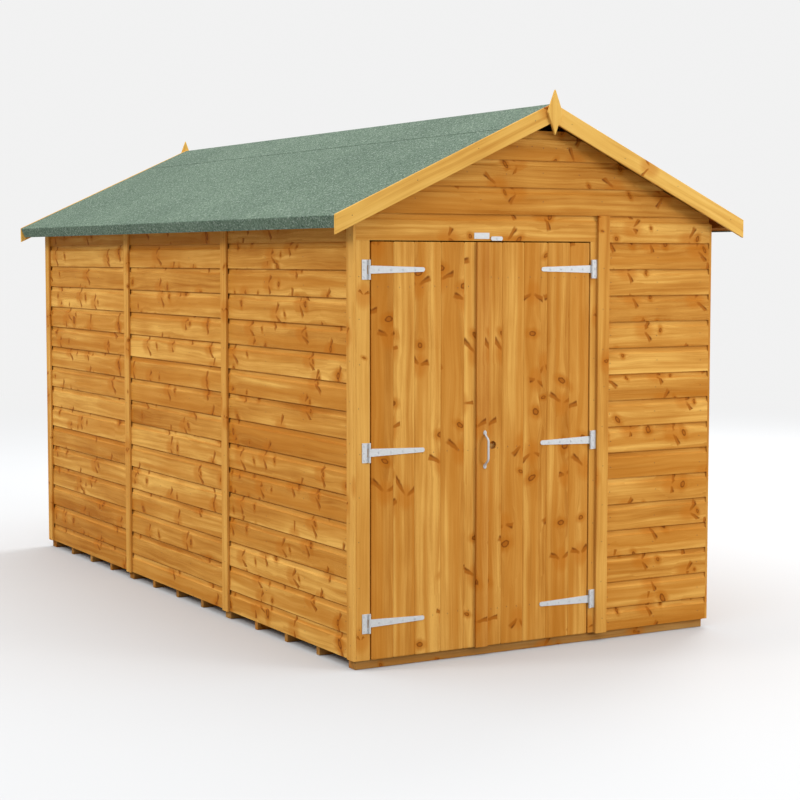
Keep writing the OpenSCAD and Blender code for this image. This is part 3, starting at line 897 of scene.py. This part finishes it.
def doorNails(node, body, joints, name):
    low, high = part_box(node)
    edges = [low[0]] + [low[0] + j for j in joints] + [high[0]]
    heights = [z + off for z, off in zip(hingeHeights, nailing[body])]
    places = []
    for left, right in zip(edges, edges[1:]):
        if right - left < 0.05:
            continue
        for z in heights:
            for share in (0.28, 0.74):
                places.append(((left + (right - left) * share + jog(0.004), low[1], z + jog(0.004)), "front"))
    setIn(nail, places, name, body, "nail")


wallNails()
trimNails()
doorNails("left_door_boards", "left_door", doorBoards["leftJoints"], "left_door_nails")
doorNails("right_door_boards", "right_door", doorBoards["rightJoints"], "right_door_nails")
for stock in (screw, nail):
    bpy.data.objects.remove(stock)
print("nails driven")


# studio

studio = {
    "camera": (-4.23805, -8.00598, 1.61973), "turn": (85.785, -0.04, -29.883), "lens": 81.66,
    "shift": -0.0089, "aim": (0, -0.4, 1.1), "air": 0.885, "fade": (4.5, 13.0), "sky": 1.98, "horizon": 0.13,
    "paper": 0.56, "bounce": 0.33,  # how pale the floor is to the camera, and to the light it throws back
    "lamps": [{"place": (5.2, -8.4, 2.7), "size": 3.0, "power": 262.0},
              {"place": (-7.5, 0.3, 5.7), "size": 2.0, "power": 212.0},
              {"place": (7.0, 3.5, 7.0), "size": 4.0, "power": 420.0}],
}

bpy.ops.object.camera_add(location=studio["camera"],
                          rotation=[math.radians(a) for a in studio["turn"]])
camera = bpy.context.object
camera.data.lens = studio["lens"]
camera.data.sensor_width = 36
camera.data.shift_y = studio["shift"]
bpy.context.scene.camera = camera


def paintStudio(name):  # pale paper that fades into the bright air far from the shed
    p = Paint(bpy.data.materials.new(name))
    place = p.node("TexCoord", {}, out="Object")
    x, y, _ = p.split(place)
    soft = (p.noise(place, 0.6, 1.0) - 0.5) * 0.02
    seen = p.node("LightPath", {}, out="Is Camera Ray")
    pale = seen * (studio["paper"] - studio["bounce"]) + studio["bounce"] + soft
    paper = p.node("BsdfPrincipled", {}, {"Base Color": p.join(pale * 0.985, pale, pale * 1.015),
                                          "Roughness": 0.95, "Specular IOR Level": 0.0})
    air = p.node("Emission", {}, {"Color": (1, 1, 1, 1), "Strength": studio["air"]})
    far = (x * x + y * y) ** 0.5
    blend = p.node("MixShader", {}, {0: far.fade(*studio["fade"]), 1: paper, 2: air})
    p.node("OutputMaterial", {}, {0: blend})
    return p.owner


dropSelection()
bpy.ops.mesh.primitive_plane_add(size=1, location=(4, 4, 0))
floor = bpy.context.object
floor.name = "studio_floor"
floor.scale = (90, 90, 1)
freeze(floor)
floor.data.materials.append(paintStudio("studio paper"))

for lamp in studio["lamps"]:
    bpy.ops.object.light_add(type="AREA", location=lamp["place"])
    light = bpy.context.object
    light.data.shape = "DISK"
    light.data.size = lamp["size"]
    light.data.energy = lamp["power"]
    aim = Vector(studio["aim"]) - Vector(lamp["place"])
    light.rotation_euler = aim.to_track_quat("-Z", "Y").to_euler()


def hangSky():  # soft light from overhead, and plain bright air behind the shed
    p = Paint(bpy.data.worlds.new("studio air"))
    up = p.split(p.node("TexCoord", {}, out="Generated"))[2]
    up = p.node("Math", {"operation": "MAXIMUM"}, {0: up, 1: 0.0})
    light = p.node("Background", {}, {"Color": (1, 1, 1, 1),
                                      "Strength": up * studio["sky"] + studio["horizon"]})
    air = p.node("Background", {}, {"Color": (1, 1, 1, 1), "Strength": studio["air"]})
    seen = p.node("LightPath", {}, out="Is Camera Ray")
    p.node("OutputWorld", {}, {0: p.node("MixShader", {}, {0: seen, 1: light, 2: air})})
    bpy.context.scene.world = p.owner


hangSky()
bpy.context.scene.view_settings.view_transform = "Standard"
print("studio lit")
